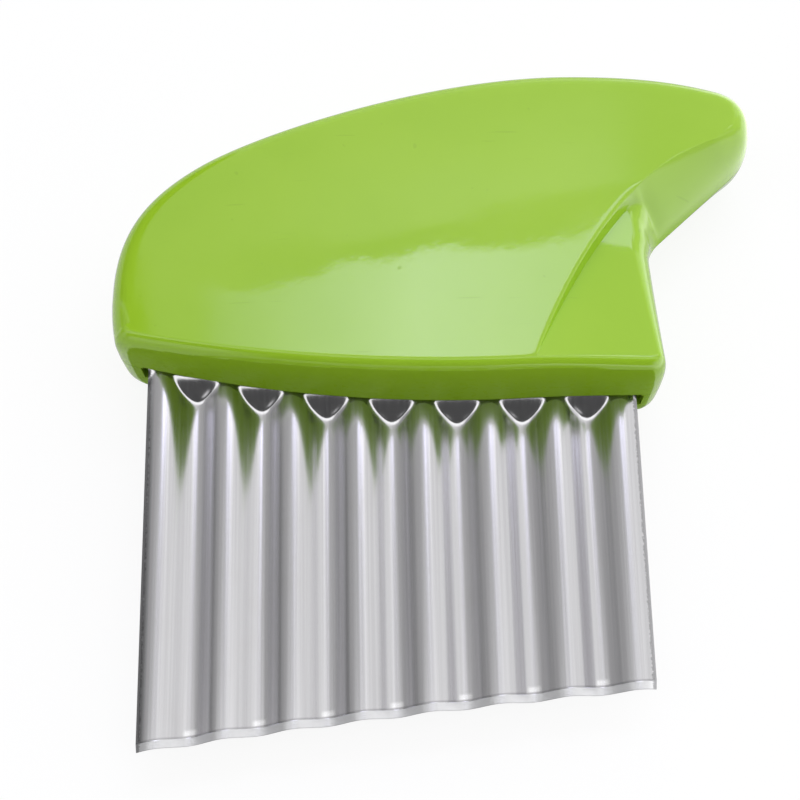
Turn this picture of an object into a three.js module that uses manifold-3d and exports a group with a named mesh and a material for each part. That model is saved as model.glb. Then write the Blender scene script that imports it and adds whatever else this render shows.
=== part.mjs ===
// Crinkle cutter: a corrugated steel blade clamped between the two halves of a moulded handle.
// Millimetres. While building, X runs across the blade with 0 at its middle, Y runs from the
// cutting edge up to the handle, and Z points to the front, with 0 where the halves meet.
import * as THREE from 'three';
import { mergeVertices } from 'three/addons/utils/BufferGeometryUtils.js';
import Module from 'manifold-3d';

const wasm = await Module();
wasm.setup();

// Blade
const bladeWidth = 75;
const bladeLength = 51.4; // from the lowest corner of the cutting edge to the lowest point of the mouth
const sheet = 0.6;
const groovePitch = 10;
const grooveDepth = 2.7;
const edgeRise = 7.5; // the cutting edge climbs this much from its left end to its right end
const edgeHollow = 0.6; // and is hollow by this much at its middle
const groundBevel = 1.2;
const keenEdge = 0.12; // thickness left at the cutting edge
const grooveEndDrop = 2.7; // from the handle's mouth down to where the grooves run out
const grooveRamp = 3;
const leastRamp = 0.06; // what is left of the ramp between two grooves
const tangLength = 18.6; // above the lowest point of the mouth
const tangCorner = 5;

// Thickness of the two halves of the handle
const frontDepth = 13;
const rearDepth = 11.5;
const wall = 1.6;
const seam = 0.2;
const clearance = 0.3;
const faceDrop = 4; // how far the front face has fallen at faceReach from its middle
const faceReach = 50;

// Mouth of the handle, an arc above the blade, and the rounded corners at its ends
const mouthLowX = 15;
const mouthRadius = 230;
const sideMargin = 4; // from the blade's edge out to the right side of the handle
const insideCorner = 0.5;
const cornerReach = Math.SQRT2 * (wall + insideCorner);
const sideX = bladeWidth / 2 + sideMargin;
const mouthHalf = sideX - cornerReach;
const mouthY = (x) => bladeLength + (x - mouthLowX) ** 2 / (2 * mouthRadius);

// Rest of the handle's outline where the halves meet: points on it, as far out from the blade's
// edge and up from the mouth's lowest point as given, the way it runs through some of them, and
// how far each curve reaches
const throatFootOut = 3.1;
const throatFootUp = 20.4;
const throatTopShift = 2; // out from the throat's foot
const throatTopRise = 5.2;
const crownInset = 9;
const crownUp = 52.3;
const hornTipOut = 20.3;
const hornTopInset = 5.6; // in from the horn's tip
const hornTopDrop = 2.6; // below the crown
const hornTipDrop = 6.7; // below the horn's top
const hornUnderInset = 3.9;
const hornUnderDrop = 7.2; // below the horn's tip
const shoulderInset = 7.9;
const shoulderUp = 38;
const heelOut = 5.1;
const heelUp = 16;
const heelFootOut = 4.2;
const heelFootRise = 1.7; // above the mouth's left end
const onRight = (out, up) => new THREE.Vector2(bladeWidth / 2 + out, bladeLength + up);
const onLeft = (out, up) => new THREE.Vector2(-bladeWidth / 2 - out, bladeLength + up);
const sideFoot = new THREE.Vector2(sideX, mouthY(sideX) + cornerReach);
const throatFoot = onRight(throatFootOut, throatFootUp);
const throatTop = onRight(throatFootOut + throatTopShift, throatFootUp + throatTopRise);
const crown = onRight(-crownInset, crownUp);
const hornTop = onRight(hornTipOut - hornTopInset, crownUp - hornTopDrop);
const hornTip = new THREE.Vector2(hornTop.x + hornTopInset, hornTop.y - hornTipDrop);
const hornUnder = new THREE.Vector2(hornTip.x - hornUnderInset, hornTip.y - hornUnderDrop);
const shoulder = onLeft(-shoulderInset, shoulderUp);
const heel = onLeft(heelOut, heelUp);
const heelFoot = onLeft(heelFootOut, mouthY(-sideX) - bladeLength + heelFootRise);
const hornTopWay = new THREE.Vector2(-0.96, 0.28);
const shoulderWay = new THREE.Vector2(-0.86, -0.51);
const heelFootWay = new THREE.Vector2(0.26, -0.97);
const hornReach = 3.6;
const crownRightReach = 8;
const crownLeftReach = 20.5;
const shoulderReach = 11;
const heelReach = 10;
const heelFootReach = 2.4;

// Middle of the front face, and the roll of the handle's edges seen from the front
const faceMidX = 10;
const faceMidUp = 23.6;
const faceMid = new THREE.Vector2(faceMidX, bladeLength + faceMidUp);
const mouthRoll = 2.5; // at the middle of the mouth
const cornerRoll = 1.2; // at its two corners
const sideRoll = 3.6;
const backRoll = 5;
const heelRoll = 3;
const hornRoll = 4.2;
const insideRoll = 1.35; // the rolls inside are this many times as wide

// Finger recess below the horn: it starts on the mouth and deepens to an apex in the throat
const recessWidth = 20.2;
const recessStartX = sideX - recessWidth;
const recessFall = 0.13; // millimetres deeper for each millimetre up the handle
const recessSideFall = 0.17; // and for each millimetre towards its side
const creaseStartWay = new THREE.Vector2(0.4, 0.92);
const creaseEndWay = new THREE.Vector2(0.95, 0.32);
const creaseStartReach = 11.6;
const creaseEndReach = 16.6;
const apexAlongCrease = 0.62; // share of the crease that edges the recess; the horn has the rest
const apexShare = 0.75; // the apex lies this far from the rim to the crease

// Screws, driven from the rear, and the bosses that take them
const screwShank = 2.6;
const screwHead = 5;
const screwHeadHeight = 1.8;
const crossWidth = 0.9;
const crossSpan = 2.8;
const crossDepth = 1;
const seatDepth = 4.2; // from the plane between the halves back to the seat of the screw heads
const screwCover = 2; // plastic in front of the longest bore
const boreSpare = 0.7;
const bossWall = 1.6;
const bore = screwShank + 2 * clearance;
const frontBoss = bore + 2 * bossWall;
const well = screwHead + 2 * clearance;
const rearBoss = well + 2 * bossWall;
const tangTop = bladeLength + tangLength;
const bladeScrewInset = 18.5; // from the blade's edges
const bladeScrewDrop = 7; // from the top of the tang
const bladeScrewX = bladeWidth / 2 - bladeScrewInset;
const bladeScrewY = tangTop - bladeScrewDrop;
const heelScrewInset = 7.5;
const heelScrewGap = 2.6; // from the top of the tang to the boss
const heelScrew = onLeft(-heelScrewInset, tangLength + heelScrewGap + rearBoss / 2);
const hornScrewInset = 12.8; // in from the horn's tip
const hornScrewDrop = 6.6; // below the horn's top
const hornScrew = new THREE.Vector2(hornTip.x - hornScrewInset, hornTop.y - hornScrewDrop);

// Slot in the rear half that lets the corrugated blade through
const slotSide = 1.1;
const slotSpare = 0.8;
const slotDepth = clearance + sheet + grooveDepth + slotSpare;

// How the handle's edges curve from the rim to the face: 2 is an ellipse, more is squarer, and
// a lie of 1 arrives at a slope instead of level
const square = { rise: 4, lie: 4 };
const round = { rise: 2.4, lie: 2.4 };
const sloped = { rise: 2, lie: 1.2 };

// Facets: the mouth, recess and horn together have as many as the back, which faces them
const mouthSteps = 13;
const cornerSteps = 3;
const hornSteps = 7;
const backSteps = [3, 4, 3, 12, 7, 3];
const columnsPerGroove = 8;
const roundFacets = 20;
const weldDistance = 1e-4;

const plastic = new THREE.MeshStandardMaterial({ color: 0x93c52c, roughness: 0.22, metalness: 0 });
const steel = new THREE.MeshStandardMaterial({ color: 0xc9c8cb, roughness: 0.24, metalness: 1 });
const zinc = new THREE.MeshStandardMaterial({ color: 0x9fa1a4, roughness: 0.35, metalness: 1 });

const { lerp } = THREE.MathUtils;
const point = (x, y) => new THREE.Vector2(x, y);

// Solids for cutting and joining

function toSolid(geometry) {
  const bare = geometry.clone();
  bare.deleteAttribute('normal');
  bare.deleteAttribute('uv');
  const merged = mergeVertices(bare, weldDistance);
  const index = merged.index.array;
  const triangles = [];
  for (let i = 0; i < index.length; i += 3) {
    const [a, b, c] = [index[i], index[i + 1], index[i + 2]];
    if (a !== b && b !== c && c !== a) triangles.push(a, b, c);
  }
  const vertProperties = new Float32Array(merged.attributes.position.array);
  const triVerts = new Uint32Array(triangles);
  return new wasm.Manifold(new wasm.Mesh({ numProp: 3, vertProperties, triVerts }));
}

function toGeometry(solid) {
  const mesh = solid.getMesh();
  const geometry = new THREE.BufferGeometry();
  geometry.setAttribute('position', new THREE.Float32BufferAttribute(mesh.vertProperties, 3));
  geometry.setIndex(new THREE.Uint32BufferAttribute(mesh.triVerts, 1));
  geometry.computeVertexNormals();
  return geometry;
}

function post(centre, diameter, z0, z1) {
  const geometry = new THREE.CylinderGeometry(diameter / 2, diameter / 2, z1 - z0, roundFacets);
  geometry.rotateX(Math.PI / 2);
  geometry.translate(centre.x, centre.y, (z0 + z1) / 2);
  return toSolid(geometry);
}

function block(x0, x1, y0, y1, z0, z1) {
  const geometry = new THREE.BoxGeometry(x1 - x0, y1 - y0, z1 - z0);
  geometry.translate((x0 + x1) / 2, (y0 + y1) / 2, (z0 + z1) / 2);
  return toSolid(geometry);
}

// Adds a grid of points as triangles, which face where row direction x column direction points
function addGrid(corners, grid) {
  for (let i = 0; i + 1 < grid.length; i++) {
    for (let j = 0; j + 1 < grid[i].length; j++) {
      const [a, b, c, d] = [grid[i][j], grid[i + 1][j], grid[i + 1][j + 1], grid[i][j + 1]];
      corners.push(a, b, c, a, c, d);
    }
  }
}

// Handle outline

const mouthRollAt = (x) => lerp(mouthRoll, cornerRoll, (x / mouthHalf) ** 2);

function mouthArc(x0, x1) {
  const start = point(x0, mouthY(x0));
  const middle = (x0 + x1) / 2;
  const slope = (x0 - mouthLowX) / mouthRadius;
  const pull = point(middle, start.y + slope * (middle - x0));
  return new THREE.QuadraticBezierCurve(start, pull, point(x1, mouthY(x1)));
}

function bend(start, startWay, startReach, end, endWay, endReach) {
  const first = start.clone().addScaledVector(startWay, startReach);
  const second = end.clone().addScaledVector(endWay, -endReach);
  return new THREE.CubicBezierCurve(start, first, second, end);
}

// A corner rounded between two points, pulled to where the lines through them meet
function roundedCorner(start, startWay, end, endWay) {
  const length = end.clone().sub(start).cross(endWay) / startWay.cross(endWay);
  const pull = start.clone().addScaledVector(startWay, length);
  return new THREE.QuadraticBezierCurve(start, pull, end);
}

// Samples of a curve's part, without its last, each with its way in and its kind of edge
function stretch(curve, steps, from, to, part = [0, 1]) {
  return Array.from({ length: steps }, (_, i) => {
    const t = lerp(part[0], part[1], i / steps);
    const along = curve.getTangent(t);
    return {
      rim: curve.getPoint(t),
      inward: point(-along.y, along.x),
      roll: lerp(from.roll, to.roll, i / steps),
      rise: lerp(from.rise, to.rise, i / steps),
      lie: lerp(from.lie, to.lie, i / steps),
    };
  });
}

// The rim in four runs, anticlockwise seen from the front: the mouth up to the recess, the
// recess's own edge, the underside of the horn, and the tip, back and heel
function rimRuns() {
  const mouthEdge = { roll: cornerRoll, ...square };
  const footEdge = { roll: cornerRoll, ...round };
  const sideEdge = { roll: sideRoll, ...round };
  const hornEdge = { roll: hornRoll, ...sloped };
  const tipEdge = { roll: hornRoll, ...round };
  const backEdge = { roll: backRoll, ...round };
  const heelEdge = { roll: heelRoll, ...round };

  const up = point(0, 1);
  const down = point(0, -1);
  const left = point(-1, 0);
  const sideWay = throatFoot.clone().sub(sideFoot).normalize();
  const hornWay = hornUnder.clone().sub(throatTop).normalize();

  const mouthLeft = mouthArc(-mouthHalf, recessStartX);
  const mouthRight = mouthArc(recessStartX, mouthHalf);
  const sideCorner = roundedCorner(mouthRight.v2, mouthRight.getTangent(1), sideFoot, sideWay);
  const side = new THREE.LineCurve(sideFoot, throatFoot);
  const throat = roundedCorner(throatFoot, sideWay, throatTop, hornWay);
  const underside = new THREE.LineCurve(throatTop, hornUnder);
  const heelCorner = roundedCorner(heelFoot, heelFootWay, mouthLeft.v0, mouthLeft.getTangent(0));
  const backCurves = [
    bend(hornUnder, hornWay, hornReach, hornTip, up, hornReach),
    bend(hornTip, up, hornReach, hornTop, hornTopWay, hornReach),
    bend(hornTop, hornTopWay, crownRightReach, crown, left, crownRightReach),
    bend(crown, left, crownLeftReach, shoulder, shoulderWay, shoulderReach),
    bend(shoulder, shoulderWay, shoulderReach, heel, down, heelReach),
    bend(heel, down, heelFootReach, heelFoot, heelFootWay, heelFootReach),
  ];
  const backEdges = [tipEdge, backEdge, backEdge, backEdge, backEdge, backEdge, heelEdge];
  const mouth = stretch(mouthLeft, mouthSteps, mouthEdge, mouthEdge);
  const mouthEnd = stretch(mouthRight, cornerSteps, mouthEdge, mouthEdge);
  for (const sample of [...mouth, ...mouthEnd]) sample.roll = mouthRollAt(sample.rim.x);
  return {
    mouth,
    recess: [
      ...mouthEnd,
      ...stretch(sideCorner, cornerSteps, mouthEdge, footEdge),
      ...stretch(side, cornerSteps, footEdge, sideEdge),
      ...stretch(throat, cornerSteps, sideEdge, sideEdge, [0, 0.5]),
    ],
    horn: [
      ...stretch(throat, cornerSteps, sideEdge, hornEdge, [0.5, 1]),
      ...stretch(underside, hornSteps, hornEdge, tipEdge),
    ],
    back: [
      ...backCurves.flatMap((curve, i) => stretch(curve, backSteps[i], backEdges[i], backEdges[i + 1])),
      ...stretch(heelCorner, cornerSteps, heelEdge, mouthEdge),
    ],
  };
}

// Height of a half's face above the plane between the halves
function faceHeight(p, depth, drop) {
  return depth - drop * (p.distanceTo(faceMid) / faceReach) ** 2;
}

// One half of the handle as a full solid on the plane Z = 0. An inset makes the smaller solid
// that hollows it out, and a foot carries that one past the plane.
function halfSolid({ depth, drop, inset, widen, foot, levels, rows }) {
  const { mouth, recess, horn, back } = rimRuns();
  const within = ({ rim, inward }, distance) => rim.clone().addScaledVector(inward, distance);
  const rolled = (sample) => within(sample, Math.max(inset, sample.roll * widen));
  const faceZ = (p) => faceHeight(p, depth, drop) - inset;
  const onFace = (p) => new THREE.Vector3(p.x, p.y, faceZ(p));
  const start = rolled(recess[0]);
  const end = rolled(back[0]);
  const recessZ = (p) => faceZ(start) - recessFall * (p.y - start.y) - recessSideFall * (p.x - start.x);
  const onRecess = (p) => new THREE.Vector3(p.x, p.y, recessZ(p));
  const crease = bend(start, creaseStartWay, creaseStartReach, end, creaseEndWay, creaseEndReach);

  // The shelf line is where each wall ends: the face's edge, the recess's edge, or along the
  // horn a ledge that climbs from the recess's apex to the face, below the crest of the step
  for (const sample of [...mouth, ...back]) sample.shelf = onFace(rolled(sample));
  for (const sample of recess) sample.shelf = onRecess(rolled(sample));
  const throatPoint = horn[0].rim;
  const creaseApex = crease.getPoint(apexAlongCrease);
  const apex = within(horn[0], inset).lerp(creaseApex, apexShare);
  for (const sample of horn) {
    const share = sample.rim.distanceTo(throatPoint) / hornUnder.distanceTo(throatPoint);
    const crest = crease.getPoint(lerp(apexAlongCrease, 1, share));
    const ledge = within(sample, inset).lerp(crest, lerp(apexShare, 1, share));
    sample.shelf = new THREE.Vector3(ledge.x, ledge.y, lerp(recessZ(apex), faceZ(end), share));
    sample.crest = onFace(crest);
  }

  // Crease beside the recess, and the foot of the step below it
  const lean = apex.clone().sub(creaseApex);
  const creaseLine = [];
  const footLine = [];
  for (let i = 0; i < recess.length; i++) {
    const share = i / recess.length;
    const head = crease.getPoint(apexAlongCrease * share);
    creaseLine.push(onFace(head));
    footLine.push(onRecess(head.addScaledVector(lean, share)));
  }
  creaseLine.push(horn[0].crest);
  footLine.push(horn[0].shelf);

  const corners = [];
  const ring = [...mouth, ...recess, ...horn, ...back];
  const walls = ring.map((sample) => {
    const { shelf, rise, lie } = sample;
    const bottom = within(sample, inset);
    const column = foot ? [new THREE.Vector3(bottom.x, bottom.y, -foot)] : [];
    for (let level = 0; level < levels; level++) {
      const angle = (level / levels) * (Math.PI / 2);
      const across = 1 - Math.cos(angle) ** (2 / lie);
      const along = bottom.clone().lerp(point(shelf.x, shelf.y), across);
      column.push(new THREE.Vector3(along.x, along.y, shelf.z * Math.sin(angle) ** (2 / rise)));
    }
    return [...column, shelf];
  });
  addGrid(corners, [...walls, walls[0]]);

  const stepHead = [...creaseLine, ...horn.slice(1).map((s) => s.crest), back[0].shelf];
  const lower = [...mouth.map((s) => s.shelf), ...stepHead];
  const upper = [mouth[0].shelf, ...back.map((s) => s.shelf).reverse()];
  addGrid(corners, rowsBetween(lower, upper, rows, onFace));
  const recessEdge = [...recess.map((s) => s.shelf), horn[0].shelf];
  addGrid(corners, rowsBetween(recessEdge, footLine, rows, onRecess));
  const stepFoot = [...footLine, ...horn.slice(1).map((s) => s.shelf), back[0].shelf];
  addGrid(corners, stepFoot.map((p, i) => [p, stepHead[i]]));

  const base = walls.map((column) => column[0]);
  const flat = base.map((p) => point(p.x, p.y));
  for (const [a, b, c] of THREE.ShapeUtils.triangulateShape(flat, [])) {
    corners.push(base[c], base[b], base[a]);
  }
  return corners;
}

// Rows of points from one line to another, with the points between laid on a surface
function rowsBetween(first, second, rows, lay) {
  return first.map((start, i) => {
    const between = Array.from({ length: rows - 1 }, (_, j) => start.clone().lerp(second[i], (j + 1) / rows));
    return [start, ...between.map((p) => lay(point(p.x, p.y))), second[i]];
  });
}

function mirrored(corners) {
  const flipped = corners.map((p) => new THREE.Vector3(p.x, p.y, -p.z - seam));
  return flipped.map((_, i) => flipped[i - (i % 3) + 2 - (i % 3)]);
}

function asSolid(corners) {
  return toSolid(new THREE.BufferGeometry().setFromPoints(corners));
}

// Handle halves

const outer = { inset: 0, widen: 1, foot: 0, levels: 7, rows: 4 };
const hollow = { inset: wall, widen: insideRoll, foot: 1, levels: 3, rows: 2 };
const front = { depth: frontDepth, drop: faceDrop };
const rear = { depth: rearDepth, drop: 0 };

const bladeScrews = [point(-bladeScrewX, bladeScrewY), point(bladeScrewX, bladeScrewY)];
const shellScrews = [heelScrew, hornScrew];
const faceHeights = [...bladeScrews, ...shellScrews].map((p) => faceHeight(p, frontDepth, faceDrop));
const screwSeat = -(seatDepth + clearance);
const screwEnd = Math.min(...faceHeights) - screwCover - boreSpare;
const screwLength = screwEnd - screwSeat;
const tangBack = -(clearance + sheet);

function frontShell() {
  const body = asSolid(halfSolid({ ...front, ...outer }));
  let shell = body.subtract(asSolid(halfSolid({ ...front, ...hollow })));
  for (const centre of [...bladeScrews, ...shellScrews]) {
    shell = shell.add(body.intersect(post(centre, frontBoss, 0, frontDepth)));
    shell = shell.subtract(post(centre, bore, -1, screwEnd + boreSpare));
  }
  return toGeometry(shell);
}

function rearShell() {
  const body = asSolid(mirrored(halfSolid({ ...rear, ...outer })));
  const slotReach = bladeWidth / 2 + slotSide;
  const slotTop = mouthY(-slotReach) + 2 * wall;
  let shell = body.subtract(asSolid(mirrored(halfSolid({ ...rear, ...hollow }))));
  shell = shell.subtract(block(-slotReach, slotReach, bladeLength - wall, slotTop, -slotDepth, 1));
  const bosses = [
    ...bladeScrews.map((centre) => ({ centre, top: tangBack - clearance })),
    ...shellScrews.map((centre) => ({ centre, top: -seam })),
  ];
  for (const { centre, top } of bosses) {
    shell = shell.add(body.intersect(post(centre, rearBoss, -rearDepth - seam, top)));
    shell = shell.subtract(post(centre, bore, -rearDepth, 1));
    shell = shell.subtract(post(centre, well, -rearDepth - 1, -seatDepth));
  }
  return toGeometry(shell);
}

// Blade: a flat tang, then grooves pressed to the rear, whose ends ramp up along the mouth

const grooveShare = (x) => (1 + Math.cos((2 * Math.PI * x) / groovePitch)) / 2;
const edgeY = (x) => edgeRise * (x / bladeWidth + 0.5) + edgeHollow * (1 - (2 * x / bladeWidth) ** 2);

function bladeColumn(x) {
  const rampTop = mouthY(x) - grooveEndDrop + grooveRamp;
  const rampFoot = rampTop - Math.max(grooveRamp * grooveShare(x), leastRamp);
  const cornerCut = Math.max(0, Math.abs(x) - (bladeWidth / 2 - tangCorner));
  const middle = -clearance - sheet / 2;
  const bottom = middle - grooveDepth * grooveShare(x);
  const slope = (grooveDepth * Math.PI / groovePitch) * Math.sin((2 * Math.PI * x) / groovePitch);
  const tilted = point(-slope, 1).normalize();
  const level = point(0, 1);
  const at = (y, z, normal, offset) => new THREE.Vector3(x + normal.x * offset, y, z + normal.y * offset);
  const rows = [
    { y: edgeY(x), z: bottom, normal: tilted, front: keenEdge - sheet / 2 },
    { y: edgeY(x) + groundBevel, z: bottom, normal: tilted, front: sheet / 2 },
    { y: rampFoot, z: bottom, normal: tilted, front: sheet / 2 },
    { y: rampTop, z: middle, normal: level, front: sheet / 2 },
    { y: tangTop - cornerCut, z: middle, normal: level, front: sheet / 2 },
  ];
  return {
    front: rows.map((row) => at(row.y, row.z, row.normal, row.front)),
    back: rows.map((row) => at(row.y, row.z, row.normal, -sheet / 2)),
  };
}

function blade() {
  const steps = Math.round((bladeWidth / groovePitch) * columnsPerGroove);
  const columns = Array.from({ length: steps + 1 }, (_, i) => bladeColumn((i / steps - 0.5) * bladeWidth));
  const corners = [];
  addGrid(corners, columns.map(({ front, back }) => [...front, ...back.slice().reverse(), front[0]]));
  const [leftEnd, rightEnd] = [columns[0], columns[steps]];
  addGrid(corners, leftEnd.front.map((p, i) => [p, leftEnd.back[i]]));
  addGrid(corners, rightEnd.back.map((p, i) => [p, rightEnd.front[i]]));
  let solid = asSolid(corners);
  for (const centre of bladeScrews) solid = solid.subtract(post(centre, bore, -2, 2));
  return toGeometry(solid);
}

// Screw: a pan head with a cross, standing on Z = 0 with its shank towards the front

function screw() {
  const [head, shank, dome] = [screwHead / 2, screwShank / 2, screwHeadHeight / 3];
  const profile = [
    point(0, screwLength),
    point(shank / 3, screwLength),
    point(shank, screwLength - screwShank),
    point(shank, 0),
    point(head, 0),
    point(head, dome - screwHeadHeight),
    point(head - dome, -screwHeadHeight),
    point(0, -screwHeadHeight),
  ];
  const body = new THREE.LatheGeometry(profile.reverse(), roundFacets);
  body.rotateX(Math.PI / 2);
  const [half, span] = [crossWidth / 2, crossSpan / 2];
  const [deep, past] = [crossDepth - screwHeadHeight, -screwHeadHeight - 1];
  const cross = block(-span, span, -half, half, past, deep).add(block(-half, half, -span, span, past, deep));
  return toGeometry(toSolid(body).subtract(cross));
}

// Assembly, lying on its rear face with the middle of its box over the origin

const cutter = new THREE.Group();

function place(name, geometry, material, position = new THREE.Vector3()) {
  const mesh = new THREE.Mesh(geometry, material);
  mesh.name = name;
  mesh.position.copy(position);
  cutter.add(mesh);
}

place('front_shell', frontShell(), plastic);
place('rear_shell', rearShell(), plastic);
place('blade', blade(), steel);
const screws = {
  screw_blade_left: bladeScrews[0],
  screw_blade_right: bladeScrews[1],
  screw_heel: heelScrew,
  screw_horn: hornScrew,
};
for (const [name, centre] of Object.entries(screws)) {
  place(name, screw(), zinc, new THREE.Vector3(centre.x, centre.y, screwSeat));
}

const box = new THREE.Box3().setFromObject(cutter);
const middle = box.getCenter(new THREE.Vector3());
cutter.position.set(-middle.x, -middle.y, -box.min.z);

export default cutter;
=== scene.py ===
"""Crinkle cutter: a corrugated steel blade clamped between the halves of a glossy moulded handle.

Sizes are in millimetres in the maker's frame, where X runs across the blade with 0 at its middle,
Y runs from the cutting edge up to the handle, and Z points to the front with 0 where the two
halves of the handle meet. placed() turns such a point into metres in the frame of the solids.
"""
from dataclasses import dataclass
from math import cos, exp, pi, radians, sin

import bmesh
import bpy
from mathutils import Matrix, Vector


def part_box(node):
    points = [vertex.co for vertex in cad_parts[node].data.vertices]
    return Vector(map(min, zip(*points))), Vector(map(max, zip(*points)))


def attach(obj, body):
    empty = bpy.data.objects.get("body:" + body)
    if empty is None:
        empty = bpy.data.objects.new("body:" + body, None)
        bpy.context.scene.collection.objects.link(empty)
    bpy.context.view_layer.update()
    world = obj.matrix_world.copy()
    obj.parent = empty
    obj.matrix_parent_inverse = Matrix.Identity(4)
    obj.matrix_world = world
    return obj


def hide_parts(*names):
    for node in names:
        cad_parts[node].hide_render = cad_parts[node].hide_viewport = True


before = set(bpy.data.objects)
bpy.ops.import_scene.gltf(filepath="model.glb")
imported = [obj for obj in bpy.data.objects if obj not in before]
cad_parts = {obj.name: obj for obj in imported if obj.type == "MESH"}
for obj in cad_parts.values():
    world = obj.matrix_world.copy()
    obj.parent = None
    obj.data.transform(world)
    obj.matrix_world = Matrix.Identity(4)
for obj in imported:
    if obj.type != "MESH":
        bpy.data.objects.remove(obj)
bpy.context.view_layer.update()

MM = 0.001
blade_low, blade_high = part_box("blade")
front_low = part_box("front_shell")[0]
MAKERS_ORIGIN = Vector(((blade_low.x + blade_high.x) / 2, blade_low.y, front_low.z))

# Blade
BLADE_WIDTH = 75
BLADE_LENGTH = 51.4
SHEET = 0.6
GROOVE_PITCH = 10
GROOVE_DEPTH = 2.7
EDGE_RISE = 7.5
EDGE_HOLLOW = 0.6
GROUND_BEVEL = 1.2
GROUND_FRONT = 0.14
GROUND_BACK = 0.34
GROOVE_END_LOW_X = 15
GROOVE_END_RADIUS = 230
GROOVE_END_DROP = 1.65
GROOVE_RAMP = 1.2
GROOVE_TIGHTNESS = 2.8
CREST_DEPTH_SHARE = 1e-6
TANG_LENGTH = 18.6
TANG_CORNER = 5
TANG_TOP = BLADE_LENGTH + TANG_LENGTH

# Handle halves
FRONT_DEPTH = 13
REAR_DEPTH = 11.5
WALL = 1.6
SEAM = 0.2
CLEARANCE = 0.3
FACE_DROP = 3
FACE_REACH_X = 50
FACE_REACH_Y = 61
FACE_MID = Vector((10, BLADE_LENGTH - 1.4))

# Mouth of the handle and its corners
MOUTH_RISE = 0.2
MOUTH_LOW_X = 13
MOUTH_RADIUS = 203.5
MOUTH_LEFT_X = -39
MOUTH_RIGHT_RISE = 0.4
MOUTH_WALL_FACING = -0.93
MOUTH_WALL_REACH = 1.6
SIDE_MARGIN = 4.1
SIDE_CORNER = 3.2
SIDE_X = BLADE_WIDTH / 2 + SIDE_MARGIN


def mouth_y(x):
    """The lower edge of the handle, a shallow arc."""
    return BLADE_LENGTH + MOUTH_RISE + (x - MOUTH_LOW_X) ** 2 / (2 * MOUTH_RADIUS)


def on_right(out, up):
    """A point out from the right side of the blade and up from the top of its grooves."""
    return Vector((BLADE_WIDTH / 2 + out, BLADE_LENGTH + up))


def on_left(out, up):
    """The same from the left side of the blade."""
    return Vector((-BLADE_WIDTH / 2 - out, BLADE_LENGTH + up))


# Outline of the handle above the mouth
MOUTH_RIGHT = on_right(SIDE_MARGIN - SIDE_CORNER, MOUTH_RIGHT_RISE)
SIDE_FOOT = on_right(SIDE_MARGIN, MOUTH_RIGHT_RISE + SIDE_CORNER)
THROAT_FOOT = on_right(3.1, 20.4)
THROAT_TOP = on_right(5.1, 25.6)
HORN_UNDER = on_right(16.4, 35.8)
HORN_TIP = on_right(20.3, 43)
HORN_TOP = on_right(14.7, 49.7)
CROWN = on_right(-9, 52.3)
SHOULDER = on_left(-7.9, 38)
HEEL = on_left(5.25, 16)
HEEL_FOOT = on_left(4.5, 9.1)
HORN_TOP_WAY = Vector((-0.96, 0.28))
SHOULDER_WAY = Vector((-0.86, -0.51))
HEEL_FOOT_WAY = Vector((0.2, -0.98))
UP = Vector((0, 1))
DOWN = Vector((0, -1))
LEFT = Vector((-1, 0))
RIGHT = Vector((1, 0))
HORN_REACH = 3.6
CROWN_RIGHT_REACH = 8
CROWN_LEFT_REACH = 20.5
SHOULDER_REACH = 11
HEEL_REACH = 10
HEEL_FOOT_REACH = 2.4
MOUTH_REACH = 6
ROUND_REACH = 0.55
THROAT_SPLIT = 0.5

# Rolls of the handle's edges as seen from the front
MOUTH_ROLL = 2.2
HEEL_CORNER_ROLL = 2.2
SIDE_ROLL = 3.6
BACK_ROLL = 4.2
HEEL_ROLL = 4.1
HORN_ROLL = 4.2
INSIDE_ROLL = 1.35

# Curves of those rolls, as powers up and across
SQUARE = (4.5, 2)
ROUND = (2.4, 2.4)
SOFT = (2, 2)
FULL = (3.4, 2)
SLOPED = (1.25, 1)
SLOPED_END = (1.5, 1.3)

# Finger recess below the horn
RECESS_START_X = SIDE_X - 20.3
RECESS_FALL = 0.14
RECESS_SIDE_FALL = 0.1
SCOOP_START_Y = BLADE_LENGTH + 13
SCOOP = 0.005
CREASE_START_WAY = Vector((0.4, 0.92))
CREASE_END_WAY = Vector((0.95, 0.32))
CREASE_START_REACH = 11.6
CREASE_END_REACH = 16.6
APEX_ALONG_CREASE = 0.64
APEX_SHARE = 0.88
HORN_MERGE = 0.3
LEDGE_SHARE = 0.46
CREASE_BAND_START = 1.2
CREASE_BAND_END = 3.6
CREASE_ROUND = 0.6
FOOT_SPREAD = 0.5

# Screws and their bosses
SCREW_SHANK = 2.6
SCREW_BLUNT_SHARE = 1 / 3
SCREW_HEAD = 5
SCREW_HEAD_HEIGHT = 1.8
HEAD_CHAMFER = 0.15
HEAD_SIDE = 0.9
HEAD_DOME = ((0.12, 0.55), (0.4, 0.22), (0.9, 0.05), (1.4, 0))
CROSS_WIDTH = 0.9
CROSS_SPAN = 2.8
CROSS_DEPTH = 1
CROSS_TAPER = 0.75
SEAT_DEPTH = 4.2
BORE_SPARE = 0.7
BOSS_WALL = 1.6
WELL_CHAMFER = 0.35
BORE = SCREW_SHANK + 2 * CLEARANCE
FRONT_BOSS = BORE + 2 * BOSS_WALL
WELL = SCREW_HEAD + 2 * CLEARANCE
REAR_BOSS = WELL + 2 * BOSS_WALL
SCREW_SEAT = -(SEAT_DEPTH + CLEARANCE)
SCREW_TIP = (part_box("screw_heel")[1].z - MAKERS_ORIGIN.z) / MM
BORE_END = SCREW_TIP + BORE_SPARE
BLADE_SCREW_X = BLADE_WIDTH / 2 - 18.5
BLADE_SCREW_Y = TANG_TOP - 7
HEEL_SCREW_UP = TANG_LENGTH + 2.6 + REAR_BOSS / 2
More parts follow.
